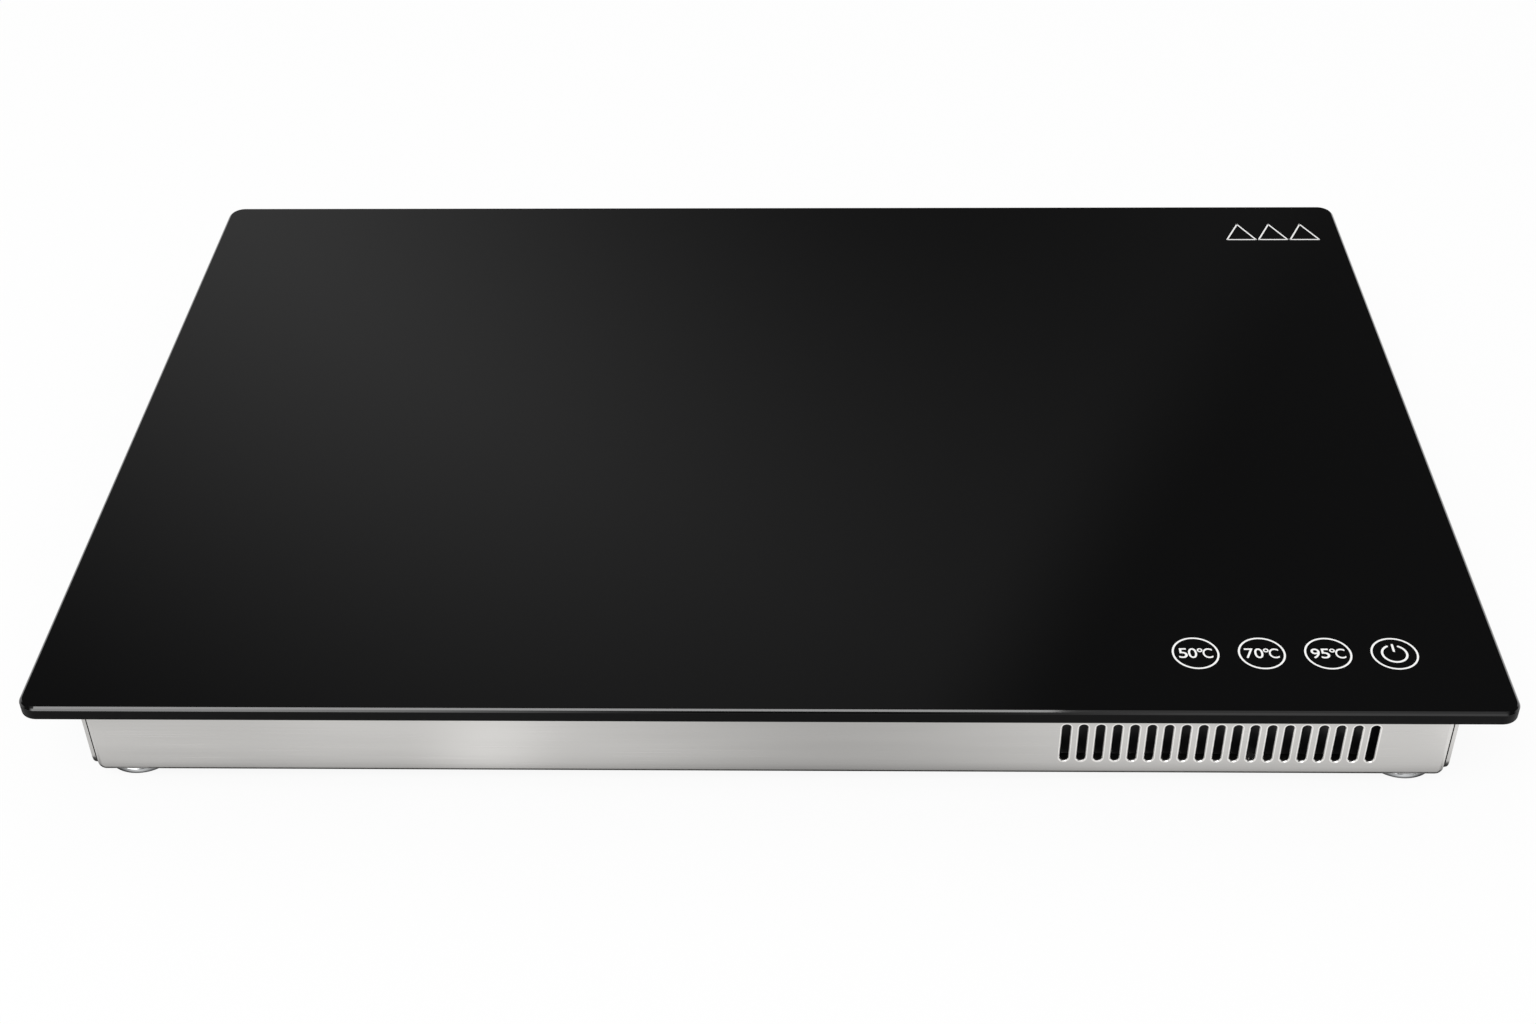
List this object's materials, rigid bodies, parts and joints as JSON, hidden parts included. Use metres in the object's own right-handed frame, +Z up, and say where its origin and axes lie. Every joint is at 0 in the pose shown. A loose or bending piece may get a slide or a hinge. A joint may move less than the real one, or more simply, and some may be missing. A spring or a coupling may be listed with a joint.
{
  "type": "electric food warmer tray",
  "caption": "Flat warming tray: a black glass plate with touch keys on a low slotted box of brushed steel, on screw-out levelling feet.",
  "frame": {"origin": "on the table under the middle of the tray, feet screwed in", "axes": "+X to the right along the width, +Y to the back, +Z up through the glass"},
  "size_m": [0.6, 0.4, 0.06],
  "materials": {
    "black_glass": "polished black glass",
    "silicone": "matt silicone",
    "channel_steel": "brushed stainless steel",
    "panel_steel": "brushed stainless steel, grain left to right",
    "screw_steel": "plain steel",
    "zinc_steel": "zinc-plated sheet",
    "foot_chrome": "polished",
    "pad_rubber": "matt",
    "spreader_aluminium": "mill finish",
    "cord_silicone": "silicone sleeve",
    "insulation": "mineral fibre board",
    "dark_plastic": "moulded black",
    "board_green": "solder resist",
    "contact_brass": "plated",
    "white_plastic": "natural",
    "relay_blue": "moulded blue",
    "capacitor_sleeve": "shrink sleeve",
    "terminal_green": "moulded green",
    "cable_grey": "insulation",
    "cable_brown": "insulation",
    "cable_green": "insulation"
  },
  "bodies": {
    "root": {"glass_top": "black_glass", "glass_seal": "silicone", "base_channel": "channel_steel", "front_panel": "panel_steel", "rear_panel": "panel_steel", "floor_screws": "screw_steel", "foot_nuts": "zinc_steel", "heat_spreader": "spreader_aluminium", "heater_cord": "cord_silicone", "heater_foil": "spreader_aluminium", "insulation_board": "insulation", "support_tray": "zinc_steel", "support_rails": "zinc_steel", "rail_rivets": "screw_steel", "bay_partition": "zinc_steel", "thermal_cutout": "dark_plastic", "temp_sensor": "dark_plastic", "board_carrier": "dark_plastic", "control_board": "board_green", "touch_springs": "contact_brass", "key_leds": "white_plastic", "touch_chip": "dark_plastic", "power_board": "board_green", "board_standoffs": "contact_brass", "board_screws": "screw_steel", "relay": "relay_blue", "transformer": "dark_plastic", "capacitors": "capacitor_sleeve", "fuse": "white_plastic", "terminal_blocks": "terminal_green", "sensor_plug": "white_plastic", "ribbon_cable": "cable_grey", "inlet_body": "dark_plastic", "inlet_pins": "contact_brass", "inlet_screws": "screw_steel", "earth_stud": "contact_brass", "mains_leads": "cable_brown", "earth_lead": "cable_green", "heater_leads": "cord_silicone", "cutout_leads": "cord_silicone", "sensor_lead": "cable_grey", "lead_sleeves": "white_plastic", "cable_clips": "white_plastic"},
    "foot_front_left": {"foot_disc_1": "foot_chrome", "foot_pad_1": "pad_rubber"},
    "stud_front_left": {"foot_stud_1": "zinc_steel"},
    "foot_front_right": {"foot_disc_2": "foot_chrome", "foot_pad_2": "pad_rubber"},
    "stud_front_right": {"foot_stud_2": "zinc_steel"},
    "foot_rear_left": {"foot_disc_3": "foot_chrome", "foot_pad_3": "pad_rubber"},
    "stud_rear_left": {"foot_stud_3": "zinc_steel"},
    "foot_rear_right": {"foot_disc_4": "foot_chrome", "foot_pad_4": "pad_rubber"},
    "stud_rear_right": {"foot_stud_4": "zinc_steel"}
  },
  "joints": [
    {"name": "foot_front_left_height", "type": "slide", "parent": "root", "child": "foot_front_left", "axis": [0, 0, -1], "range_m": [0, 0.005]},
    {"name": "stud_front_left_turn", "type": "hinge", "parent": "foot_front_left", "child": "stud_front_left", "pos_m": [-0.26805, -0.1614, 0.0055], "axis": [0, 0, -1], "range_deg": [0, 1440]},
    {"name": "foot_front_right_height", "type": "slide", "parent": "root", "child": "foot_front_right", "axis": [0, 0, -1], "range_m": [0, 0.005]},
    {"name": "stud_front_right_turn", "type": "hinge", "parent": "foot_front_right", "child": "stud_front_right", "pos_m": [0.26805, -0.1614, 0.0055], "axis": [0, 0, -1], "range_deg": [0, 1440]},
    {"name": "foot_rear_left_height", "type": "slide", "parent": "root", "child": "foot_rear_left", "axis": [0, 0, -1], "range_m": [0, 0.005]},
    {"name": "stud_rear_left_turn", "type": "hinge", "parent": "foot_rear_left", "child": "stud_rear_left", "pos_m": [-0.26805, 0.1614, 0.0055], "axis": [0, 0, -1], "range_deg": [0, 1440]},
    {"name": "foot_rear_right_height", "type": "slide", "parent": "root", "child": "foot_rear_right", "axis": [0, 0, -1], "range_m": [0, 0.005]},
    {"name": "stud_rear_right_turn", "type": "hinge", "parent": "foot_rear_right", "child": "stud_rear_right", "pos_m": [0.26805, 0.1614, 0.0055], "axis": [0, 0, -1], "range_deg": [0, 1440]}
  ],
  "couplings": [
    {"joint": "stud_front_left_turn", "follows": "foot_front_left_height", "rad_per_m": 5026.5},
    {"joint": "stud_front_right_turn", "follows": "foot_front_right_height", "rad_per_m": 5026.5},
    {"joint": "stud_rear_left_turn", "follows": "foot_rear_left_height", "rad_per_m": 5026.5},
    {"joint": "stud_rear_right_turn", "follows": "foot_rear_right_height", "rad_per_m": 5026.5}
  ]
}
